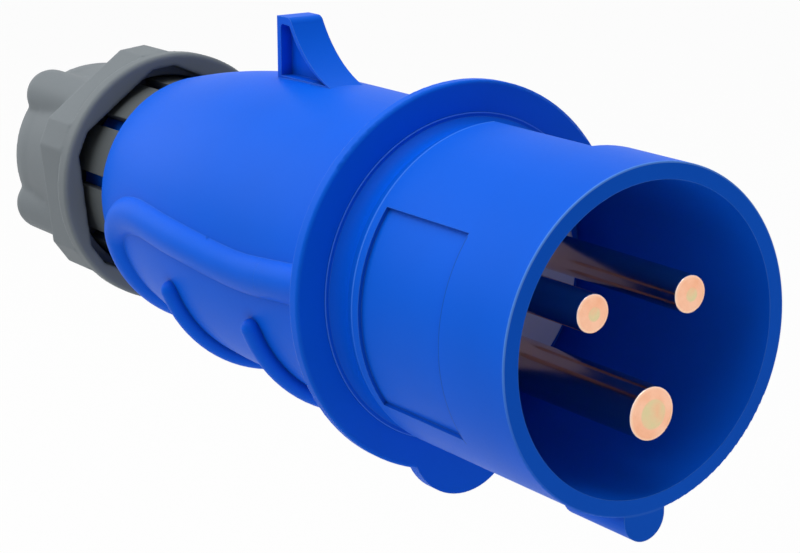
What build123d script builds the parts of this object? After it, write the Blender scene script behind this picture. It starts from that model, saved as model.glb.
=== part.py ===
"""Industrial pin and sleeve plug for a two-pole and earth 16 A circuit.

The plug's axis lies along X with the pins towards +X. The origin is the centre of the sleeve's front rim.
The keyway rib, the earth pin and the flange lug are at the bottom, and the retaining fin is on top.
All sizes are in millimetres.
"""

from math import cos, radians, sin, sqrt
import os

from build123d import *

# Sleeve
sleeve_r = 22.5
sleeve_wall = 2.25
rim_round = 0.2
shoulder_x = -32.4
groove_x = -35.1
groove_r = 21.4
groove_floor_x = -37.2
groove_floor_r = 21.62
base_front_x = -38.6
base_rear_x = -40.5
carrier_window_r = 16.4
skirt_r = 20.1
skirt_wall = 1.9
skirt_end_x = -56.0
snap_x = -51.8
snap_height = 0.4
snap_half_length = 1.0
snap_play = 0.2
panel_half_angle = 36.0
panels = (
    dict(centre=178.6, rear_x=-30.7, front_x=-13.1, depth=0.55),
    dict(centre=53.2, rear_x=-35.1, front_x=-12.0, depth=1.08),
)
key_width = 6.5
key_bottom_z = -26.15
key_length = 12.3

# Flange and handle
flange_x = -38.1
flange_thickness = 2.1
flange_r = 27.1
flange_round = 0.5
seat_r = 22.65
seat_flat = 0.45
seat_proud = 0.12
seat_clearance = 0.03
seat_thickness = 1.2
gasket_thickness = 0.8
gasket_play = 0.25
flange_fillet = 3.5
handle_r = 22.35
taper_start_x = -71.3
taper_radius = 166.7
handle_end_x = -111.5
handle_end_round = 1.6
handle_bore_r = 20.25
throat_r = 16.2
throat_floor_x = -100.5
cavity_end_x = -97.5
cavity_end_r = 17.0
spigot_r = 14.1
spigot_bore_r = 11.5
spigot_end_x = -123.6
spigot_chamfer = 0.6
lug_r = 8.7
lug_centre_z = -22.3
lug_overlap = 2.0

# Retaining fin
fin_thickness = 5.5
fin_rear_x = -81.3
fin_top_z = 31.1
fin_front_x = -67.0
fin_foot_sink = 0.6
fin_crest_length = 2.8
fin_crest_round = 1.5
fin_crest_end = (-77.2, 30.2)
fin_slope_middle = (-73.9, 26.2)
fin_toe_z = 22.2
fin_frame = 1.0
fin_crest_frame = 1.1
fin_pocket_depth = 1.9
fin_pocket_round = 0.6
fin_pocket_turn = (-77.9, 29.9)
fin_pocket_middle = (-74.27, 25.72)
fin_pocket_toe = (-68.2, 22.4)

# Grip bead and finger ribs
bead_r = 3.1
bead_depth = 1.3
bead_stations = (
    (-39.5, -3.2),
    (-47.3, -1.2),
    (-53.9, 0.4),
    (-58.5, 1.3),
    (-64.9, 1.3),
    (-70.7, 0.5),
    (-76.8, -0.5),
    (-83.5, -1.4),
    (-91.0, -2.4),
    (-97.1, -0.6),
    (-101.5, 5.0),
    (-103.8, 13.0),
    (-104.3, 24.0),
    (-104.3, 50.0),
    (-104.3, 90.0),
)
rib_r = 1.5
ribs = ((-83.3, 23.9), (-59.3, 24.5))
rib_start = 202.0

# Contact carrier, retainer plate and pins
carrier_face_x = -34.0
carrier_r = 16.3
carrier_flange_r = 18.0
carrier_end_x = -50.0
retainer_r = 17.4
retainer_end_x = -53.0
pin_circle_r = 9.04
pin_fit = 0.03
seat_gap = 0.02
edge_chamfer = 0.5
crown_height = 0.25
pin_edge_round = 0.25
pin_groove_x = (-33.2, -34.8)
pin_groove_depth = 0.2
collar_length = 2.9
collar_height = 0.9
collar_play = 0.1
terminal_end_x = -69.0
terminal_screw_x = -63.5
wire_bore_depth = 12.0
screw_r = 1.9
screw_head_r = 3.1
screw_head_height = 2.0
screw_start = 0.6
slot_width = 0.9
slot_depth = 1.0
retainer_screw_circle = 10.0
retainer_screw_r = 1.5
retainer_screw_length = 8.0
retainer_screw_play = 0.15
retainer_head_r = 2.75
retainer_head_height = 1.9

# Cable gland
cut_overrun = 0.5
finger_r = 16.05
finger_bore_r = 14.3
finger_count = 10
slot_phase = 138.0
finger_slot = 2.3
finger_front_x = -101.2
slot_end_x = -123.8
finger_end_x = -124.2
thread_r = 14.3
thread_chamfer = 0.8
gland_end_x = -136.5
spigot_stop_gap = 0.3
spigot_stop = 1.0
grommet_seat_x = -126.5
grommet_r = 11.9
grommet_fit = 0.05
grommet_nose = (2.0, 1.5)
grommet_end_x = -138.6
cable_r = 5.5
thrust_ring_r = 11.5
thrust_ring_bore_r = 7.0
thrust_ring_x = (-146.3, -143.9)

# Gland nut
nut_front_x = -117.7
nut_ring_r = 20.5
nut_ring_end_x = -120.4
nut_ring_chamfer = 0.4
hex_corner_r = 20.65
hex_mouth_r = 18.6
hex_corner_half_angle = 6.25
hex_phase = 36.0
hex_end_x = -128.0
hex_slope_end_x = -131.5
hex_slope_r = 18.4
hex_mouth_end_x = -121.5
mouth_r = 16.5
mouth_end_x = -129.9
nut_thread_bore_r = 14.38
nut_thread_end_x = -141.5
nut_chamber_x = (-143.9, -146.6)
nut_chamber_r = 12.0
dome_start_r = 17.1
dome_shoulder_x = -142.0
dome_shoulder_r = 15.6
dome_radius = 19.6
nut_end_x = -148.2
nut_end_round = 1.6
cable_hole_r = 8.5
lobe_axis = 171.4
lobe_half_spread = 42.0
lobe_circle_r = 13.9
lobe_r = 4.4
lobe_centre_x = -144.7

pins = {
    "line": dict(angle=150.0, shaft=2.5, flat=0.7, tip_x=-1.1, terminal=4.0, wire=2.1),
    "neutral": dict(angle=30.0, shaft=2.5, flat=0.7, tip_x=-1.1, terminal=4.0, wire=2.1),
    "earth": dict(angle=270.0, shaft=3.5, flat=1.75, tip_x=1.2, terminal=4.6, wire=2.4),
}

os.makedirs("parts", exist_ok=True)


def radial(angle, radius):
    """Y and Z of a point at an angle about the plug's axis, counted from +Y towards +Z."""
    return radius * cos(radians(angle)), radius * sin(radians(angle))


def radial_plane(angle):
    """Plane through the plug's axis whose second direction points outwards at the angle."""
    across = (0, -sin(radians(angle)), cos(radians(angle)))
    return Plane(origin=(0, 0, 0), x_dir=(1, 0, 0), z_dir=across)


def handle_radius(x):
    """Outer radius of the plain handle at a station along its axis."""
    past = max(0.0, taper_start_x - x)
    return handle_r - taper_radius + sqrt(taper_radius**2 - past**2)


def on_handle(x, angle, depth):
    """Point a little below the handle's surface."""
    return (x, *radial(angle, handle_radius(x) - depth))


def blunt_hexagon(corner_r):
    """Corners of a hexagon whose six corners are cut off flat."""
    corners = [hex_phase + 60 * side for side in range(6)]
    angles = [c + sign * hex_corner_half_angle for c in corners for sign in (-1, 1)]
    return [radial(angle, corner_r) for angle in angles]


# Blue front moulding: sleeve, base ring and rear skirt
with BuildPart() as sleeve_insert:
    bore_r = sleeve_r - sleeve_wall
    seat_front_x = flange_x + seat_proud
    seat_rear_x = flange_x - seat_thickness
    groove_end_r = seat_r - seat_flat
    with BuildSketch(Plane.XY):
        with BuildLine():
            Line((0, bore_r), (0, sleeve_r - rim_round))
            RadiusArc((0, sleeve_r - rim_round), (-rim_round, sleeve_r), -rim_round)
            Polyline((-rim_round, sleeve_r), (shoulder_x, sleeve_r), (groove_x, groove_r))
            ThreePointArc(
                (groove_x, groove_r), (groove_floor_x, groove_floor_r), (seat_front_x, groove_end_r)
            )
            Polyline(
                (seat_front_x, groove_end_r),
                (seat_front_x, seat_r),
                (seat_rear_x, seat_r),
                (seat_rear_x, skirt_r),
                (snap_x + snap_half_length, skirt_r),
                (snap_x, skirt_r + snap_height),
                (snap_x - snap_half_length, skirt_r),
                (skirt_end_x, skirt_r),
                (skirt_end_x, skirt_r - skirt_wall),
                (base_rear_x, skirt_r - skirt_wall),
                (base_rear_x, carrier_window_r),
                (base_front_x, carrier_window_r),
                (base_front_x, bore_r),
                (0, bore_r),
            )
        make_face()
    revolve(axis=Axis.X)
    # Recessed panels: one closed on the near side, one that runs out into the groove on the far side
    for panel in panels:
        with BuildSketch(radial_plane(panel["centre"] - panel_half_angle)):
            with Locations(((panel["rear_x"] + panel["front_x"]) / 2, sleeve_r)):
                Rectangle(panel["front_x"] - panel["rear_x"], 2 * panel["depth"])
        revolve(axis=Axis.X, revolution_arc=2 * panel_half_angle, mode=Mode.SUBTRACT)
    # Round-bottomed key under the front of the sleeve
    with BuildSketch(Plane.YZ.offset(-key_length)):
        key_top_z = -(sleeve_r - sleeve_wall / 2)
        key_round_z = key_bottom_z + key_width / 2
        with Locations((0, (key_top_z + key_round_z) / 2)):
            Rectangle(key_width, key_top_z - key_round_z)
        with Locations((0, key_round_z)):
            Circle(key_width / 2)
        Circle(sleeve_r - sleeve_wall / 2, mode=Mode.SUBTRACT)
    extrude(amount=key_length)
    sleeve_insert.part.label = "sleeve_insert"
    export_step(sleeve_insert.part, "parts/sleeve_insert.step")

# Blue rear moulding: flange, handle shell and the spigot for the gland
with BuildPart() as handle:
    flange_rear_x = flange_x - flange_thickness
    neck_x = flange_rear_x - flange_fillet
    end_start_x = handle_end_x + handle_end_round
    end_start_r = handle_radius(end_start_x)
    with BuildSketch(Plane.XY):
        with BuildLine():
            Polyline((spigot_end_x, 0), (flange_x, 0), (flange_x, flange_r - flange_round))
            RadiusArc(
                (flange_x, flange_r - flange_round), (flange_x - flange_round, flange_r), -flange_round
            )
            Line((flange_x - flange_round, flange_r), (flange_rear_x + flange_round, flange_r))
            RadiusArc(
                (flange_rear_x + flange_round, flange_r),
                (flange_rear_x, flange_r - flange_round),
                -flange_round,
            )
            Line((flange_rear_x, flange_r - flange_round), (flange_rear_x, handle_r + flange_fillet))
            RadiusArc((flange_rear_x, handle_r + flange_fillet), (neck_x, handle_r), flange_fillet)
            Line((neck_x, handle_r), (taper_start_x, handle_r))
            RadiusArc((taper_start_x, handle_r), (end_start_x, end_start_r), -taper_radius)
            RadiusArc((end_start_x, end_start_r), (handle_end_x, throat_r), -handle_end_round)
            Polyline(
                (handle_end_x, throat_r),
                (handle_end_x, spigot_r),
                (spigot_end_x + spigot_chamfer, spigot_r),
                (spigot_end_x, spigot_r - spigot_chamfer),
                (spigot_end_x, 0),
            )
        make_face()
    revolve(axis=Axis.X)
    # Rounded lug that widens the flange at the bottom
    with BuildSketch(Plane.YZ.offset(flange_rear_x)):
        with Locations((0, lug_centre_z)):
            Circle(lug_r)
        Circle(flange_r - lug_overlap, mode=Mode.SUBTRACT)
    extrude(amount=flange_thickness)
    # Retaining fin with a square back and a hollow front slope
    fin_foot_z = handle_bore_r + fin_foot_sink
    fin_crest_x = fin_rear_x + fin_crest_length
    with BuildSketch(Plane.XZ):
        with BuildLine():
            Line((fin_front_x, fin_foot_z), (fin_rear_x, fin_foot_z))
            Line((fin_rear_x, fin_foot_z), (fin_rear_x, fin_top_z))
            Line((fin_rear_x, fin_top_z), (fin_crest_x, fin_top_z))
            RadiusArc((fin_crest_x, fin_top_z), fin_crest_end, fin_crest_round)
            ThreePointArc(fin_crest_end, fin_slope_middle, (fin_front_x, fin_toe_z))
            Line((fin_front_x, fin_toe_z), (fin_front_x, fin_foot_z))
        make_face()
    extrude(amount=fin_thickness / 2, both=True)
    # Three-cornered pocket in each side of the fin
    pocket_heel = (fin_rear_x + fin_frame, handle_r)
    pocket_rear = (fin_rear_x + fin_frame, fin_top_z - fin_crest_frame - fin_pocket_round)
    pocket_top = (fin_rear_x + fin_frame + fin_pocket_round, fin_top_z - fin_crest_frame)
    for side in (-1, 1):
        with BuildSketch(Plane.XZ.offset(-side * fin_thickness / 2)):
            with BuildLine():
                Line(pocket_heel, pocket_rear)
                RadiusArc(pocket_rear, pocket_top, fin_pocket_round)
                Line(pocket_top, fin_pocket_turn)
                ThreePointArc(fin_pocket_turn, fin_pocket_middle, fin_pocket_toe)
                Line(fin_pocket_toe, pocket_heel)
            make_face()
        extrude(amount=side * fin_pocket_depth, mode=Mode.SUBTRACT)
    # Grip bead: a rail along each side that turns down and meets its twin under the handle's rear
    for side in (-1, 1):
        with BuildLine() as bead_path:
            Spline(*[on_handle(x, 270 + side * (90 - drop), bead_depth) for x, drop in bead_stations])
        with BuildSketch(Plane(origin=bead_path.line @ 0, z_dir=bead_path.line % 0)):
            Circle(bead_r)
        sweep(path=bead_path.line)
    # Finger ribs round the underside
    for rib_x, crest_r in ribs:
        with BuildSketch(radial_plane(rib_start)):
            with Locations((rib_x, crest_r - rib_r)):
                Circle(rib_r)
        revolve(axis=Axis.X, revolution_arc=540 - 2 * rib_start)
        with Locations(*[(rib_x, *radial(end, crest_r - rib_r)) for end in (rib_start, 540 - rib_start)]):
            Sphere(rib_r)
    # Hollow inside: seat for the insert, wiring space, spigot bore and the throat round the spigot
    recess_r = seat_r + seat_clearance
    recess_floor_x = flange_x - seat_thickness - gasket_thickness
    with BuildSketch(Plane.XY):
        with BuildLine():
            Polyline(
                (flange_x, 0),
                (flange_x, recess_r),
                (recess_floor_x, recess_r),
                (recess_floor_x, handle_bore_r),
                (snap_x + snap_half_length + snap_play, handle_bore_r),
                (snap_x, handle_bore_r + snap_height),
                (snap_x - snap_half_length - snap_play, handle_bore_r),
                (taper_start_x, handle_bore_r),
                (cavity_end_x, cavity_end_r),
                (cavity_end_x, spigot_bore_r),
                (spigot_end_x, spigot_bore_r),
                (spigot_end_x, 0),
                (flange_x, 0),
            )
        make_face()
        with Locations(((throat_floor_x + handle_end_x) / 2, (throat_r + spigot_r) / 2)):
            Rectangle(throat_floor_x - handle_end_x, throat_r - spigot_r)
    revolve(axis=Axis.X, mode=Mode.SUBTRACT)
    handle.part.label = "handle"
    export_step(handle.part, "parts/handle.step")

# Rubber gasket behind the insert's seat
with BuildPart() as body_gasket:
    with BuildSketch(Plane.YZ.offset(flange_x - seat_thickness - gasket_thickness + seat_gap)):
        Circle(seat_r - gasket_play)
        Circle(skirt_r + gasket_play, mode=Mode.SUBTRACT)
    extrude(amount=gasket_thickness - 2 * seat_gap)
    body_gasket.part.label = "body_gasket"
    export_step(body_gasket.part, "parts/body_gasket.step")

# Grey carrier that fills the sleeve's base and holds the pins
with BuildPart() as contact_carrier:
    with BuildSketch(Plane.XY):
        with BuildLine():
            Polyline(
                (carrier_face_x, 0),
                (carrier_face_x, carrier_r - edge_chamfer),
                (carrier_face_x - edge_chamfer, carrier_r),
                (base_rear_x - seat_gap, carrier_r),
                (base_rear_x - seat_gap, carrier_flange_r),
                (carrier_end_x, carrier_flange_r),
                (carrier_end_x, 0),
                (carrier_face_x, 0),
            )
        make_face()
    revolve(axis=Axis.X)
    for pin in pins.values():
        with BuildSketch(Plane.YZ.offset(carrier_end_x)):
            with Locations(radial(pin["angle"], pin_circle_r)):
                Circle(pin["shaft"] + pin_fit)
        extrude(amount=carrier_face_x - carrier_end_x, mode=Mode.SUBTRACT)
        with BuildSketch(Plane.YZ.offset(carrier_end_x)):
            with Locations(radial(pin["angle"], pin_circle_r)):
                Circle(pin["terminal"] + collar_height + collar_play)
        extrude(amount=collar_length + collar_play, mode=Mode.SUBTRACT)
        with BuildSketch(Plane.YZ.offset(carrier_end_x)):
            with Locations(radial(pin["angle"] + 60, retainer_screw_circle)):
                Circle(retainer_screw_r + pin_fit)
        extrude(amount=retainer_screw_length, mode=Mode.SUBTRACT)
    contact_carrier.part.label = "contact_carrier"
    export_step(contact_carrier.part, "parts/contact_carrier.step")

# Grey plate that shuts the pins' collars into the carrier
with BuildPart() as pin_retainer:
    with BuildSketch(Plane.YZ.offset(retainer_end_x)):
        Circle(retainer_r)
        for pin in pins.values():
            with Locations(radial(pin["angle"], pin_circle_r)):
                Circle(pin["terminal"] + collar_play, mode=Mode.SUBTRACT)
            with Locations(radial(pin["angle"] + 60, retainer_screw_circle)):
                Circle(retainer_screw_r + retainer_screw_play, mode=Mode.SUBTRACT)
    extrude(amount=carrier_end_x - retainer_end_x - seat_gap)
    pin_retainer.part.label = "pin_retainer"
    export_step(pin_retainer.part, "parts/pin_retainer.step")

# Three slotted screws that hold the retainer plate
with BuildPart() as retainer_screws:
    head_seat_x = retainer_end_x - seat_gap
    for pin in pins.values():
        screw_centre = radial(pin["angle"] + 60, retainer_screw_circle)
        with BuildSketch(Plane.YZ.offset(head_seat_x)):
            with Locations(screw_centre):
                Circle(retainer_screw_r)
        extrude(amount=retainer_screw_length)
        with BuildSketch(Plane.YZ.offset(head_seat_x)):
            with Locations(screw_centre):
                Circle(retainer_head_r)
        extrude(amount=-retainer_head_height)
        with BuildSketch(Plane.YZ.offset(head_seat_x - retainer_head_height)):
            with Locations(screw_centre):
                Rectangle(3 * retainer_head_r, slot_width)
        extrude(amount=slot_depth, mode=Mode.SUBTRACT)
    retainer_screws.part.label = "retainer_screws"
    export_step(retainer_screws.part, "parts/retainer_screws.step")

# Turned pins, each with a collar and a tunnel terminal with its clamping screw
for name, pin in pins.items():
    centre_y, centre_z = radial(pin["angle"], pin_circle_r)
    pin_axis = Axis((0, centre_y, centre_z), (1, 0, 0))
    shaft = pin["shaft"]
    tip_x = pin["tip_x"]
    flat_r = pin["flat"]
    crown_r = shaft - pin_edge_round
    crown_x = tip_x - crown_height
    straight_x = crown_x - pin_edge_round
    root_groove_r = shaft - pin_groove_depth
    collar_r = pin["terminal"] + collar_height
    collar_front_x = carrier_end_x + collar_length
    outward = (0, *radial(pin["angle"], 1))
    screw_plane = Plane(origin=(terminal_screw_x, centre_y, centre_z), x_dir=(1, 0, 0), z_dir=outward)
    with BuildPart() as contact_pin:
        with BuildSketch(Plane(origin=(0, centre_y, centre_z), x_dir=(1, 0, 0), z_dir=(0, 0, 1))):
            with BuildLine():
                Polyline((tip_x, 0), (tip_x, flat_r), (crown_x, crown_r))
                RadiusArc((crown_x, crown_r), (straight_x, shaft), -pin_edge_round)
                Polyline(
                    (straight_x, shaft),
                    (pin_groove_x[0], shaft),
                    (pin_groove_x[0], root_groove_r),
                    (pin_groove_x[1], root_groove_r),
                    (pin_groove_x[1], shaft),
                    (collar_front_x, shaft),
                    (collar_front_x, collar_r),
                    (carrier_end_x, collar_r),
                    (carrier_end_x, pin["terminal"]),
                    (terminal_end_x, pin["terminal"]),
                    (terminal_end_x, pin["wire"]),
                    (terminal_end_x + wire_bore_depth, pin["wire"]),
                    (terminal_end_x + wire_bore_depth, 0),
                    (tip_x, 0),
                )
            make_face()
        revolve(axis=pin_axis)
        with BuildSketch(screw_plane):
            Circle(screw_r + pin_fit)
        extrude(amount=2 * pin["terminal"], mode=Mode.SUBTRACT)
        contact_pin.part.label = f"{name}_pin"
        export_step(contact_pin.part, f"parts/{name}_pin.step")
    with BuildPart() as terminal_screw:
        with BuildSketch(screw_plane.offset(screw_start)):
            Circle(screw_r)
        extrude(amount=collar_r - screw_start)
        with BuildSketch(screw_plane.offset(collar_r)):
            Circle(screw_head_r)
        extrude(amount=screw_head_height)
        with BuildSketch(screw_plane.offset(collar_r + screw_head_height)):
            Rectangle(3 * screw_head_r, slot_width)
        extrude(amount=-slot_depth, mode=Mode.SUBTRACT)
        terminal_screw.part.label = f"{name}_terminal_screw"
        export_step(terminal_screw.part, f"parts/{name}_terminal_screw.step")

# Grey gland body: slotted fingers over the spigot, then the screwed barrel with the grommet's seat
with BuildPart() as gland_body:
    with BuildSketch(Plane.XY):
        with BuildLine():
            Polyline(
                (finger_front_x, finger_bore_r),
                (finger_front_x, finger_r),
                (finger_end_x, finger_r),
                (finger_end_x - thread_chamfer, finger_r - thread_chamfer),
                (finger_end_x - thread_chamfer, thread_r),
                (gland_end_x + thread_chamfer, thread_r),
                (gland_end_x, thread_r - thread_chamfer),
                (gland_end_x, grommet_r + grommet_fit),
                (grommet_seat_x, grommet_r + grommet_fit),
                (grommet_seat_x, spigot_bore_r - spigot_stop),
                (spigot_end_x - spigot_stop_gap, spigot_bore_r - spigot_stop),
                (spigot_end_x - spigot_stop_gap, finger_bore_r),
                (finger_front_x, finger_bore_r),
            )
        make_face()
    revolve(axis=Axis.X)
    slot_angles = [slot_phase + 360 / finger_count * k for k in range(finger_count)]
    slot_length = finger_front_x + cut_overrun - slot_end_x
    slot_x = slot_end_x + slot_length / 2
    with Locations(*[Location((slot_x, *radial(a, finger_r)), (a, 0, 0)) for a in slot_angles]):
        Box(slot_length, 2 * (finger_r - finger_bore_r + cut_overrun), finger_slot, mode=Mode.SUBTRACT)
    gland_body.part.label = "gland_body"
    export_step(gland_body.part, "parts/gland_body.step")

# Rubber grommet that seals on the cable
with BuildPart() as seal_grommet:
    with BuildSketch(Plane.XY):
        with BuildLine():
            Polyline(
                (grommet_seat_x - seat_gap, cable_r),
                (grommet_seat_x - seat_gap, grommet_r),
                (grommet_end_x + grommet_nose[0], grommet_r),
                (grommet_end_x, grommet_r - grommet_nose[1]),
                (grommet_end_x, cable_r),
                (grommet_seat_x - seat_gap, cable_r),
            )
        make_face()
    revolve(axis=Axis.X)
    seal_grommet.part.label = "seal_grommet"
    export_step(seal_grommet.part, "parts/seal_grommet.step")

# Thrust ring between the nut and the grommet
with BuildPart() as thrust_ring:
    with BuildSketch(Plane.YZ.offset(thrust_ring_x[0])):
        Circle(thrust_ring_r)
        Circle(thrust_ring_bore_r, mode=Mode.SUBTRACT)
    extrude(amount=thrust_ring_x[1] - thrust_ring_x[0])
    thrust_ring.part.label = "thrust_ring"
    export_step(thrust_ring.part, "parts/thrust_ring.step")

# Grey gland nut: round front ring, blunt hexagon and a domed back with grip lobes
with BuildPart() as gland_nut:
    dome_centre_r = dome_shoulder_r - dome_radius
    dome_end_x = nut_end_x + nut_end_round
    dome_end_r = dome_centre_r + sqrt(dome_radius**2 - (dome_end_x - dome_shoulder_x) ** 2)
    nut_end_r = dome_end_r - nut_end_round
    with BuildSketch(Plane.XY):
        with BuildLine():
            Polyline(
                (nut_front_x, 0),
                (nut_front_x, nut_ring_r - nut_ring_chamfer),
                (nut_front_x - nut_ring_chamfer, nut_ring_r),
                (nut_ring_end_x, nut_ring_r),
                (nut_ring_end_x, dome_start_r),
                (hex_end_x, dome_start_r),
                (dome_shoulder_x, dome_shoulder_r),
            )
            RadiusArc((dome_shoulder_x, dome_shoulder_r), (dome_end_x, dome_end_r), -dome_radius)
            RadiusArc((dome_end_x, dome_end_r), (nut_end_x, nut_end_r), -nut_end_round)
            Polyline((nut_end_x, nut_end_r), (nut_end_x, 0), (nut_front_x, 0))
        make_face()
    revolve(axis=Axis.X)
    with BuildSketch(Plane.YZ.offset(hex_end_x)):
        Polygon(*blunt_hexagon(hex_corner_r), align=None)
    extrude(amount=nut_ring_end_x - hex_end_x)
    # Slope from the hexagon down to the dome
    with BuildSketch(Plane.YZ.offset(hex_end_x)):
        Polygon(*blunt_hexagon(hex_corner_r), align=None)
    with BuildSketch(Plane.YZ.offset(hex_slope_end_x)):
        Polygon(*blunt_hexagon(hex_slope_r), align=None)
    loft()
    lobe_angles = [lobe_axis + turn + sign * lobe_half_spread for turn in (0, 180) for sign in (-1, 1)]
    with BuildSketch(Plane.YZ.offset(lobe_centre_x)):
        with Locations(*[radial(angle, lobe_circle_r) for angle in lobe_angles]):
            Circle(lobe_r)
    extrude(amount=hex_end_x - lobe_centre_x)
    with Locations(*[(lobe_centre_x, *radial(angle, lobe_circle_r)) for angle in lobe_angles]):
        Sphere(lobe_r)
    # Hollow inside: hexagonal mouth, screwed bore, chamber for the thrust ring and the cable hole
    with BuildSketch(Plane.YZ.offset(hex_mouth_end_x)):
        Polygon(*blunt_hexagon(hex_mouth_r), align=None)
    extrude(amount=nut_front_x - hex_mouth_end_x, mode=Mode.SUBTRACT)
    with BuildSketch(Plane.XY):
        with BuildLine():
            Polyline(
                (hex_mouth_end_x + cut_overrun, 0),
                (hex_mouth_end_x + cut_overrun, mouth_r),
                (mouth_end_x, mouth_r),
                (mouth_end_x, nut_thread_bore_r),
                (nut_thread_end_x, nut_thread_bore_r),
                (nut_chamber_x[0], nut_chamber_r),
                (nut_chamber_x[1], nut_chamber_r),
                (nut_chamber_x[1], cable_hole_r),
                (lobe_centre_x - lobe_r - cut_overrun, cable_hole_r),
                (lobe_centre_x - lobe_r - cut_overrun, 0),
                (hex_mouth_end_x + cut_overrun, 0),
            )
        make_face()
    revolve(axis=Axis.X, mode=Mode.SUBTRACT)
    gland_nut.part.label = "gland_nut"
    export_step(gland_nut.part, "parts/gland_nut.step")
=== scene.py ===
"""Looks of the industrial pin and sleeve plug: moulded blue and grey plastic, turned pins, rubber seals.

The plug's axis lies along X with the pins towards +X, and the retaining fin is on top. Lengths are in metres.
"""

from math import cos, pi, radians, sin

import bmesh
import bpy
from mathutils import Matrix, Vector


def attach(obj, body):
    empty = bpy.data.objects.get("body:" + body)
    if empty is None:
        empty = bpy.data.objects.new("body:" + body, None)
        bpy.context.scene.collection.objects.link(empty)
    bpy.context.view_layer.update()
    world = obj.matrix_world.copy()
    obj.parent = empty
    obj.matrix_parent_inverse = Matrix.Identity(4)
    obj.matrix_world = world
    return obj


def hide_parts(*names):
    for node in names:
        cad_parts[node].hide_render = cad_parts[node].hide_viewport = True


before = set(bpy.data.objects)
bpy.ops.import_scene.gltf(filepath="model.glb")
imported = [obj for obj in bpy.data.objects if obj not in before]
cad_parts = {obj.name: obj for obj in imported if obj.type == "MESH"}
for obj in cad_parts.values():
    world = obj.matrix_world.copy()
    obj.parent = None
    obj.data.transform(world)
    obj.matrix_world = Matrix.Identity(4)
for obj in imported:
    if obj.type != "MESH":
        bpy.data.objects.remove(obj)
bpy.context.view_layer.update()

MM = 0.001
IMAGE_WIDTH = 800
IMAGE_HEIGHT = 553

# Camera: where it stands, which way it looks, and its picture centre in image pixels
EYE = Vector((201.43, -176.46, 78.01)) * MM
CAMERA_AZIMUTH = 55.40
CAMERA_ELEVATION = 15.18
CAMERA_ROLL = -0.22
FOCAL_PIXELS = 2258.0
PICTURE_CENTRE = (397.4, 297.0)
SENSOR_WIDTH = 36.0
NEAR_CLIP = 0.01

# Studio: the floor, the share of it that shows as plain white, and the even light from all round
FLOOR_Z = -0.13
FLOOR_SIZE = 6.0
FLOOR_WHITE = 0.9
FLOOR_GLOW = 0.96
AMBIENT = 0.25

# Square lamps, aimed at the plug's front half: place, side and light level
LAMP_AIM = Vector((-0.06, 0.0, 0.0))
LAMPS = {
    "overhead": (Vector((-0.15, -0.10, 0.75)), 0.7, 0.70),
    "side": (Vector((-0.10, -0.60, 0.50)), 0.7, 0.18),
    "rear": (Vector((-0.76, -0.30, 0.32)), 0.5, 0.19),
}

# Every edge is a little rounded: likeness of the flat and the rounded direction where it begins and is full
EDGE_LIKENESS = (0.99, 0.80)
EDGE_SAMPLES = 6
GAP_SAMPLES = 8

# Moulded plastic: deeper cloudy patches, edges rubbed paler in places (wear and painted edge highlight),
# painted shade where surfaces stand close, and grain
CLOUD_BAND = (0.3, 0.7)
CLOUD_SHADE = 0.93
CLOUD_ROUGHNESS = 0.06
RUB_BAND = (0.35, 0.75)
RUB_SHARES = (0.5, 0.9)
GAP_SHADE_BAND = (0.25, 0.95)
GRAIN_ROUGHNESS = 0.10
MIDDLE = 0.5

# Pins: angle about the plug's axis and the x of the tip
PIN_CIRCLE = 9.04 * MM
PIN_TIPS = {"line_pin": (150.0, -1.1 * MM), "neutral_pin": (30.0, -1.1 * MM), "earth_pin": (270.0, 1.2 * MM)}

# Distances behind a pin's tip over which its crown, the painted highlight at the crown's outer edge and the
# painted reflection on the flat set in
CROWN_SETS_IN = (0.55 * MM, 0.45 * MM)
CROWN_EDGE_SETS_IN = (0.22 * MM, 0.38 * MM)
FLAT_SETS_IN = (0.05 * MM, 0.01 * MM)

# Sleeve: painted highlight along the edges of its rim and groove, weaker on the lower side than the upper
RIM_EDGE_X = (-0.26 * MM, 0.1 * MM)
RIM_EDGE_HIGHLIGHT = 0.9
GROOVE_EDGE_X = (-32.3 * MM, -32.0 * MM)
GROOVE_EDGE_HIGHLIGHT = 0.42
SLEEVE_SKIN_R = (22.25 * MM, 22.6 * MM)
HIGHLIGHT_FADE_Z = (-12 * MM, 4 * MM)
HIGHLIGHT_SHARES = (0.2, 1.0)

# Sleeve: painted shade along the near panel's front edge and on the groove's front slope
PANEL_LINE_X = (-13.2 * MM, -12.9 * MM)
PANEL_SIDE_Y = -18.1 * MM
PANEL_LINE_SHADE = 0.6
GROOVE_SLOPE_X = (-34.2 * MM, -32.3 * MM)
GROOVE_SLOPE_R = (21.6 * MM, 22.6 * MM)
GROOVE_SLOPE_SHADE = 0.35
MARK_FADE = 0.05 * MM

# Raised line where the insert's seat meets the flange
SEAT_LINE_X = -38.04 * MM
SEAT_LINE_R = 22.68 * MM
SEAT_LINE_HALF_WIDTH = 0.1 * MM
SEAT_LINE_SIDES = 12
SEAT_LINE_STEPS = 240

# Gland nut: the skin is remade in fine cells, and what lies outside its bore is run together
NUT_MERGE = 0.001 * MM
NUT_DEPTH = 7
NUT_BORE = 14.9 * MM
NUT_HEXAGON_END = -128.6 * MM
NUT_SMOOTHING = 0.5
NUT_OUTSIDE_TURNS = 1
NUT_REAR_TURNS = 12

FIRST_COLOUR = 6
SECOND_COLOUR = 7
MIXED_COLOUR = 2


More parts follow.
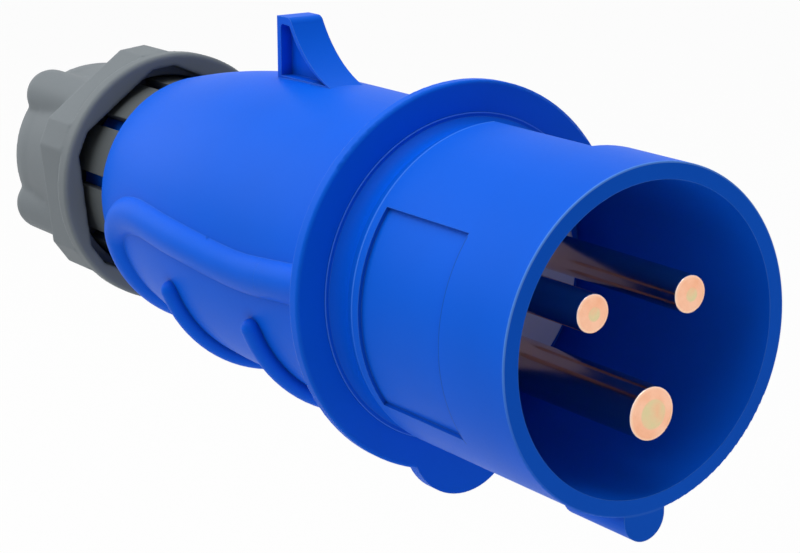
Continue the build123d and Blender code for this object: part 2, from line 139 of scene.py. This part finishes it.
class Wire:
    """A node's output. Plain arithmetic on it adds Math nodes to its material."""

    def __init__(self, finish, socket):
        self.finish = finish
        self.socket = socket

    def __add__(self, other):
        return self.finish.math("ADD", self, other)

    def __radd__(self, other):
        return self.finish.math("ADD", other, self)

    def __sub__(self, other):
        return self.finish.math("SUBTRACT", self, other)

    def __rsub__(self, other):
        return self.finish.math("SUBTRACT", other, self)

    def __mul__(self, other):
        return self.finish.math("MULTIPLY", self, other)

    def __rmul__(self, other):
        return self.finish.math("MULTIPLY", other, self)


class Finish:
    """The nodes of one material or of the world, built a node at a time."""

    def __init__(self, holder):
        self.holder = holder
        holder.use_nodes = True
        self.tree = holder.node_tree
        self.tree.nodes.clear()

    def node(self, kind, settings=None, inlets=None, outlet=0):
        """Adds a node, makes its settings, then fills or links its sockets, and gives one of its outputs."""
        made = self.tree.nodes.new(kind)
        for key, value in (settings or {}).items():
            setattr(made, key, value)
        for key, value in (inlets or {}).items():
            if isinstance(value, Wire):
                self.tree.links.new(value.socket, made.inputs[key])
            else:
                made.inputs[key].default_value = value
        return Wire(self, made.outputs[outlet]) if made.outputs else None

    def math(self, operation, *terms):
        return self.node("ShaderNodeMath", dict(operation=operation), dict(enumerate(terms)))

    def vector(self, operation, *terms, outlet="Vector"):
        return self.node("ShaderNodeVectorMath", dict(operation=operation), dict(enumerate(terms)), outlet)

    def place(self, scale=(1, 1, 1), centre=(0, 0, 0)):
        """Object coordinates, moved to a centre and scaled."""
        coords = self.node("ShaderNodeTexCoord", outlet="Object")
        return self.vector("MULTIPLY", self.vector("SUBTRACT", coords, centre), scale)

    def along(self, where, axis):
        """One coordinate of a place, by its letter."""
        return self.node("ShaderNodeSeparateXYZ", None, {"Vector": where}, axis)

    def noise(self, where, scale, detail=3.0, roughness=0.5):
        sockets = {"Vector": where, "Scale": scale, "Detail": detail, "Roughness": roughness}
        return self.node("ShaderNodeTexNoise", None, sockets)

    def span(self, value, low, high, to_low=0.0, to_high=1.0):
        """A value carried from one range to another, and held at its ends."""
        sockets = {"Value": value, "From Min": low, "From Max": high, "To Min": to_low, "To Max": to_high}
        return self.node("ShaderNodeMapRange", None, sockets)

    def within(self, value, band):
        """One inside a band and nought outside it, with a short fade at its ends."""
        low, high = band
        return self.span(value, low, low + MARK_FADE) * self.span(value, high, high - MARK_FADE)

    def blend(self, share, first, second):
        """A colour between two colours."""
        sockets = {"Factor": share, FIRST_COLOUR: first, SECOND_COLOUR: second}
        return self.node("ShaderNodeMix", dict(data_type="RGBA"), sockets, MIXED_COLOUR)

    def round_edges(self, radius):
        """The surface's direction, with every edge rounded."""
        return self.node("ShaderNodeBevel", dict(samples=EDGE_SAMPLES), {"Radius": radius})

    def edge_share(self, rounded):
        """How strongly each place lies on a rounded edge."""
        flat = self.node("ShaderNodeNewGeometry", outlet="Normal")
        return self.span(self.vector("DOT_PRODUCT", rounded, flat, outlet="Value"), *EDGE_LIKENESS)

    def open_air(self, reach):
        """One on an open surface, and less where other surfaces stand close within the reach."""
        return self.node("ShaderNodeAmbientOcclusion", dict(samples=GAP_SAMPLES), {"Distance": reach}, "AO")

    def bump(self, height, rounded, strength, depth):
        """The rounded direction, with a fine relief."""
        sockets = {"Height": height, "Normal": rounded, "Strength": strength, "Distance": depth}
        return self.node("ShaderNodeBump", None, sockets)

    def seen(self):
        """One where the camera, a gloss or a glass looks, and nought where the light only falls."""
        rays = self.node("ShaderNodeLightPath", outlet="Is Camera Ray")
        for ray in ("Is Glossy Ray", "Is Transmission Ray"):
            rays = self.math("MAXIMUM", rays, self.node("ShaderNodeLightPath", outlet=ray))
        return rays

    def surface(self, sockets):
        """The shader of plastic, rubber, metal or paint."""
        return self.node("ShaderNodeBsdfPrincipled", None, sockets)

    def close(self, shader, output="ShaderNodeOutputMaterial"):
        """Ends the nodes with a shader, and gives the material or the world."""
        self.node(output, None, {"Surface": shader})
        return self.holder


def rgb(red, green, blue):
    return (red, green, blue, 1.0)


def shade(colour, share):
    """A colour darkened to a share of itself."""
    return rgb(*(share * part for part in colour[:3]))


def sleeve_painted_light(finish, where):
    """Shares of the sleeve's painted edge highlights, of the near panel's painted shade line and of the
    groove's painted shade slope.
    """
    x, y, z = (finish.along(where, axis) for axis in "XYZ")
    radius = finish.vector("LENGTH", finish.vector("MULTIPLY", where, (0, 1, 1)), outlet="Value")
    skin = finish.within(radius, SLEEVE_SKIN_R)
    rim_edge = finish.within(x, RIM_EDGE_X) * skin
    groove_edge = finish.within(x, GROOVE_EDGE_X) * skin
    # Painted highlight on the rim and groove edges, stronger on the upper side
    upper = finish.span(z, *HIGHLIGHT_FADE_Z, *HIGHLIGHT_SHARES)
    painted_edge_highlight = upper * (RIM_EDGE_HIGHLIGHT * rim_edge + GROOVE_EDGE_HIGHLIGHT * groove_edge)
    # Painted shade: a dark line along the near panel's front edge, and a darker groove slope
    near_side = finish.span(y, PANEL_SIDE_Y, PANEL_SIDE_Y - MARK_FADE)
    line = finish.within(x, PANEL_LINE_X) * skin * near_side
    slope = finish.within(x, GROOVE_SLOPE_X) * finish.within(radius, GROOVE_SLOPE_R)
    return painted_edge_highlight, line, slope


def moulded_plastic(name, colour, worn_and_highlit, edge_radius, roughness, sheen, reach, painted_gap_shade, paints_sleeve_light=False):
    """Satin moulded plastic: fine grain, faint cloudiness, rubbed edges that are also a painted edge
    highlight, and painted shade in the gaps.
    """
    finish = Finish(bpy.data.materials.new(name))
    where = finish.place()
    clouds = finish.noise(where, scale=45.0, detail=2.0)
    grain = finish.noise(where, scale=2600.0, detail=2.0, roughness=0.6)
    rubs = finish.noise(where, scale=260.0, detail=4.0, roughness=0.65)
    rounded = finish.round_edges(edge_radius)
    body = finish.blend(finish.span(clouds, *CLOUD_BAND), shade(colour, CLOUD_SHADE), colour)
    # Edges paler where the rubs fall: wear, and a painted edge highlight
    share = finish.edge_share(rounded) * finish.span(rubs, *RUB_BAND, *RUB_SHARES)
    # Painted shade: darker where other surfaces stand close
    unshaded = finish.span(finish.open_air(reach), *GAP_SHADE_BAND)
    if paints_sleeve_light:
        painted_edge_highlight, line, slope = sleeve_painted_light(finish, where)
        # The sleeve's painted highlights lighten its edges, and its painted shade darkens the panel line and
        # groove slope
        share = finish.math("MAXIMUM", share, painted_edge_highlight) * (1.0 - line)
        unshaded = unshaded * (1.0 - PANEL_LINE_SHADE * line) * (1.0 - GROOVE_SLOPE_SHADE * slope)
    unevenness = CLOUD_ROUGHNESS * (clouds - MIDDLE) + GRAIN_ROUGHNESS * (grain - MIDDLE)
    sockets = {
        "Base Color": finish.blend(unshaded, shade(colour, painted_gap_shade), finish.blend(share, body, worn_and_highlit)),
        "Roughness": roughness + unevenness,
        "Specular IOR Level": sheen,
        "Normal": finish.bump(grain, rounded, strength=0.05, depth=0.1 * MM),
    }
    return finish.close(finish.surface(sockets))


def turned_brass(name, angle, tip_x):
    """Turned pin: a polished shaft, a crowned tip of pale copper tone with a painted highlight at its edge,
    and a painted reflection in yellow on its flat.
    """
    finish = Finish(bpy.data.materials.new(name))
    centre = (0.0, PIN_CIRCLE * cos(radians(angle)), PIN_CIRCLE * sin(radians(angle)))
    where = finish.place(centre=centre)
    drawn_out = finish.place(scale=(0.05, 1.0, 1.0), centre=centre)
    streaks = finish.noise(drawn_out, scale=900.0, detail=3.0, roughness=0.6)
    haze = finish.noise(where, scale=320.0, detail=3.0)
    x = finish.along(where, "X")
    tip, edge, flat = (
        finish.span(x, tip_x - start, tip_x - end)
        for start, end in (CROWN_SETS_IN, CROWN_EDGE_SETS_IN, FLAT_SETS_IN)
    )
    shaft = finish.blend(streaks, rgb(0.80, 0.52, 0.39), rgb(0.94, 0.66, 0.52))
    peach = finish.blend(finish.span(haze, 0.35, 0.65), rgb(0.92, 0.46, 0.28), rgb(0.97, 0.56, 0.38))
    # Painted highlight: the crown's outer edge is paler
    crown = finish.blend(edge, peach, rgb(1.0, 0.80, 0.64))
    crowned = finish.blend(tip, shaft, crown)
    # Painted reflection: a yellow patch on the flat of the tip
    flat_reflection = flat * finish.span(haze, 0.2, 0.6)
    sockets = {
        "Base Color": finish.blend(flat_reflection, crowned, rgb(0.72, 0.61, 0.34)),
        "Roughness": 0.17 + 0.08 * tip + 0.10 * (haze - MIDDLE),
        "Metallic": 1.0,
        "Normal": finish.bump(haze, finish.round_edges(0.2 * MM), strength=0.04, depth=0.05 * MM),
    }
    return finish.close(finish.surface(sockets))


def plated_steel(name):
    """Bright zinc plating with a faint yellow haze and fine marks."""
    finish = Finish(bpy.data.materials.new(name))
    haze = finish.noise(finish.place(), scale=400.0, detail=3.0)
    marks = finish.noise(finish.place(scale=(0.1, 1.0, 1.0)), scale=4000.0, detail=2.0)
    sockets = {
        "Base Color": finish.blend(haze, rgb(0.60, 0.60, 0.60), rgb(0.72, 0.70, 0.62)),
        "Roughness": 0.26 + 0.12 * haze,
        "Metallic": 1.0,
        "Normal": finish.bump(marks, finish.round_edges(0.2 * MM), strength=0.1, depth=0.05 * MM),
    }
    return finish.close(finish.surface(sockets))


def seal_rubber(name):
    """Dull black rubber with a bloom of dust."""
    finish = Finish(bpy.data.materials.new(name))
    bloom = finish.noise(finish.place(), scale=500.0, detail=4.0, roughness=0.7)
    sockets = {
        "Base Color": finish.blend(bloom, rgb(0.018, 0.018, 0.020), rgb(0.040, 0.040, 0.044)),
        "Roughness": 0.62 + 0.2 * bloom,
        "Normal": finish.bump(bloom, finish.round_edges(0.3 * MM), strength=0.15, depth=0.1 * MM),
    }
    return finish.close(finish.surface(sockets))


def finish_node(name, material):
    """Gives a CAD node its material."""
    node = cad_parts[name]
    node.data.materials.clear()
    node.data.materials.append(material)


def add_piece(name, shape, material):
    """A new piece of the plug from its finished shape, smooth and in place."""
    for face in shape.faces:
        face.smooth = True
    skin = bpy.data.meshes.new(name)
    shape.to_mesh(skin)
    shape.free()
    skin.materials.append(material)
    piece = bpy.data.objects.new(name, skin)
    bpy.context.scene.collection.objects.link(piece)
    return piece


def raise_seat_line(material):
    """Fine round line all the way round the joint between the insert and the flange."""
    shape = bmesh.new()
    section = Matrix.Translation((SEAT_LINE_X, SEAT_LINE_R, 0.0))
    bmesh.ops.create_circle(shape, segments=SEAT_LINE_SIDES, radius=SEAT_LINE_HALF_WIDTH, matrix=section)
    bmesh.ops.spin(
        shape,
        geom=shape.verts[:] + shape.edges[:],
        cent=(0, 0, 0),
        axis=(1, 0, 0),
        angle=2 * pi,
        steps=SEAT_LINE_STEPS,
        use_merge=True,
    )
    bmesh.ops.recalc_face_normals(shape, faces=shape.faces)
    line = add_piece("seat_line", shape, material)
    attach(line, "plug_body")


def remade_nut():
    """The solid nut's skin, remade in fine cells."""
    shape = bmesh.new()
    shape.from_mesh(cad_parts["gland_nut"].data)
    bmesh.ops.remove_doubles(shape, verts=shape.verts, dist=NUT_MERGE)
    merged = bpy.data.meshes.new("merged_gland_nut")
    shape.to_mesh(merged)
    shape.free()
    draft = bpy.data.objects.new("gland_nut_draft", merged)
    bpy.context.scene.collection.objects.link(draft)
    cells = draft.modifiers.new("fine_cells", "REMESH")
    cells.mode = "SHARP"
    cells.octree_depth = NUT_DEPTH
    cells.use_remove_disconnected = False
    remade = bpy.data.meshes.new_from_object(draft.evaluated_get(bpy.context.evaluated_depsgraph_get()))
    bpy.data.objects.remove(draft)
    return remade


def soften_nut(material):
    """The gland nut, with its lobes, slopes and dome run together as the mould leaves them."""
    shape = bmesh.new()
    shape.from_mesh(remade_nut())
    outside = [v for v in shape.verts if v.co.yz.length > NUT_BORE]
    rear = [v for v in outside if v.co.x < NUT_HEXAGON_END]
    for verts in [outside] * NUT_OUTSIDE_TURNS + [rear] * NUT_REAR_TURNS:
        bmesh.ops.smooth_vert(
            shape, verts=verts, factor=NUT_SMOOTHING, use_axis_x=True, use_axis_y=True, use_axis_z=True
        )
    nut = add_piece("moulded_gland_nut", shape, material)
    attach(nut, "gland_nut")
    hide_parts("gland_nut")


def set_camera():
    azimuth, elevation, roll = (radians(a) for a in (CAMERA_AZIMUTH, CAMERA_ELEVATION, CAMERA_ROLL))
    back = Vector((sin(azimuth) * cos(elevation), -cos(azimuth) * cos(elevation), sin(elevation)))
    level = Vector((cos(azimuth), sin(azimuth), 0.0))
    right = Matrix.Rotation(roll, 3, back) @ level
    turn = Matrix((right, back.cross(right), back)).transposed()
    lens = bpy.data.cameras.new("camera")
    lens.sensor_fit = "HORIZONTAL"
    lens.sensor_width = SENSOR_WIDTH
    lens.lens = FOCAL_PIXELS * SENSOR_WIDTH / IMAGE_WIDTH
    lens.shift_x = (IMAGE_WIDTH / 2 - PICTURE_CENTRE[0]) / IMAGE_WIDTH
    lens.shift_y = (PICTURE_CENTRE[1] - IMAGE_HEIGHT / 2) / IMAGE_WIDTH
    lens.clip_start = NEAR_CLIP
    camera = bpy.data.objects.new("camera", lens)
    camera.matrix_world = Matrix.Translation(EYE) @ turn.to_4x4()
    bpy.context.scene.collection.objects.link(camera)
    bpy.context.scene.camera = camera


def softbox(name, place, side, level):
    """Square lamp that lights a surface facing it, at the aim, to about that level of its colour."""
    lamp = bpy.data.lights.new(name, "AREA")
    lamp.shape = "SQUARE"
    lamp.size = side
    towards = place - LAMP_AIM
    lamp.energy = level * pi**2 * towards.length_squared
    stand = bpy.data.objects.new(name, lamp)
    stand.matrix_world = Matrix.Translation(place) @ towards.to_track_quat("Z", "Y").to_matrix().to_4x4()
    bpy.context.scene.collection.objects.link(stand)


def build_floor():
    """Pale floor that shows nearly white and keeps a soft shadow."""
    bpy.ops.mesh.primitive_plane_add(size=FLOOR_SIZE, location=(0.0, 0.0, FLOOR_Z))
    floor = bpy.context.object
    floor.name = "floor"
    finish = Finish(bpy.data.materials.new("pale_floor"))
    white = rgb(FLOOR_WHITE, FLOOR_WHITE, FLOOR_WHITE)
    paint = finish.surface({"Base Color": white, "Roughness": 1.0, "Specular IOR Level": 0.0})
    glow = finish.node("ShaderNodeEmission", None, {"Color": rgb(1, 1, 1), "Strength": 1.0})
    mixed = finish.node("ShaderNodeMixShader", None, {0: finish.seen() * FLOOR_GLOW, 1: paint, 2: glow})
    floor.data.materials.append(finish.close(mixed))


def light_world():
    """White where the camera, a gloss or a glass sees it, and a dimmer even light elsewhere."""
    world = bpy.data.worlds.new("studio")
    bpy.context.scene.world = world
    finish = Finish(world)
    level = AMBIENT + finish.seen() * (1.0 - AMBIENT)
    back = finish.node("ShaderNodeBackground", None, {"Color": rgb(1, 1, 1), "Strength": level})
    finish.close(back, "ShaderNodeOutputWorld")


blue = moulded_plastic(
    "blue_moulding",
    colour=rgb(0.002, 0.136, 0.88),
    worn_and_highlit=rgb(0.12, 0.34, 1.0),
    edge_radius=0.18 * MM,
    roughness=0.46,
    sheen=0.06,
    reach=2.0 * MM,
    painted_gap_shade=0.52,
    paints_sleeve_light=True,
)
grey = moulded_plastic(
    "grey_moulding",
    colour=rgb(0.205, 0.232, 0.250),
    worn_and_highlit=rgb(0.26, 0.29, 0.31),
    edge_radius=0.3 * MM,
    roughness=0.55,
    sheen=0.12,
    reach=3.0 * MM,
    painted_gap_shade=0.75,
)
# Darker copy of the grey: painted shade for the gland body, which lies in the shadow of the nut and the
# handle
shaded_grey = moulded_plastic(
    "shaded_grey_moulding",
    colour=rgb(0.125, 0.140, 0.145),
    worn_and_highlit=rgb(0.16, 0.18, 0.19),
    edge_radius=0.3 * MM,
    roughness=0.55,
    sheen=0.12,
    reach=4.0 * MM,
    painted_gap_shade=0.65,
)
pale = moulded_plastic(
    "pale_moulding",
    colour=rgb(0.74, 0.76, 0.85),
    worn_and_highlit=rgb(0.77, 0.79, 0.87),
    edge_radius=0.2 * MM,
    roughness=0.55,
    sheen=0.20,
    reach=1.0 * MM,
    painted_gap_shade=0.70,
)
# Lighter blue of the raised seat line: a painted highlight along the joint
highlight_blue = moulded_plastic(
    "highlight_blue",
    colour=rgb(0.05, 0.23, 0.95),
    worn_and_highlit=rgb(0.05, 0.23, 0.95),
    edge_radius=0.02 * MM,
    roughness=0.52,
    sheen=0.14,
    reach=0.1 * MM,
    painted_gap_shade=0.80,
)
rubber = seal_rubber("black_rubber")
steel = plated_steel("zinc_plating")

for material, node_names in (
    (blue, ("sleeve_insert", "handle")),
    (grey, ("thrust_ring", "gland_nut")),
    (shaded_grey, ("gland_body",)),
    (pale, ("contact_carrier", "pin_retainer")),
    (rubber, ("body_gasket", "seal_grommet")),
    (steel, ("line_terminal_screw", "neutral_terminal_screw", "earth_terminal_screw", "retainer_screws")),
):
    for node_name in node_names:
        finish_node(node_name, material)
for node_name, (pin_angle, pin_tip_x) in PIN_TIPS.items():
    finish_node(node_name, turned_brass(f"brass_of_{node_name}", pin_angle, pin_tip_x))

raise_seat_line(highlight_blue)
soften_nut(grey)
set_camera()
build_floor()
light_world()
for lamp_name, (lamp_place, lamp_side, lamp_level) in LAMPS.items():
    softbox(lamp_name, lamp_place, lamp_side, lamp_level)

bpy.context.scene.view_settings.view_transform = "Standard"
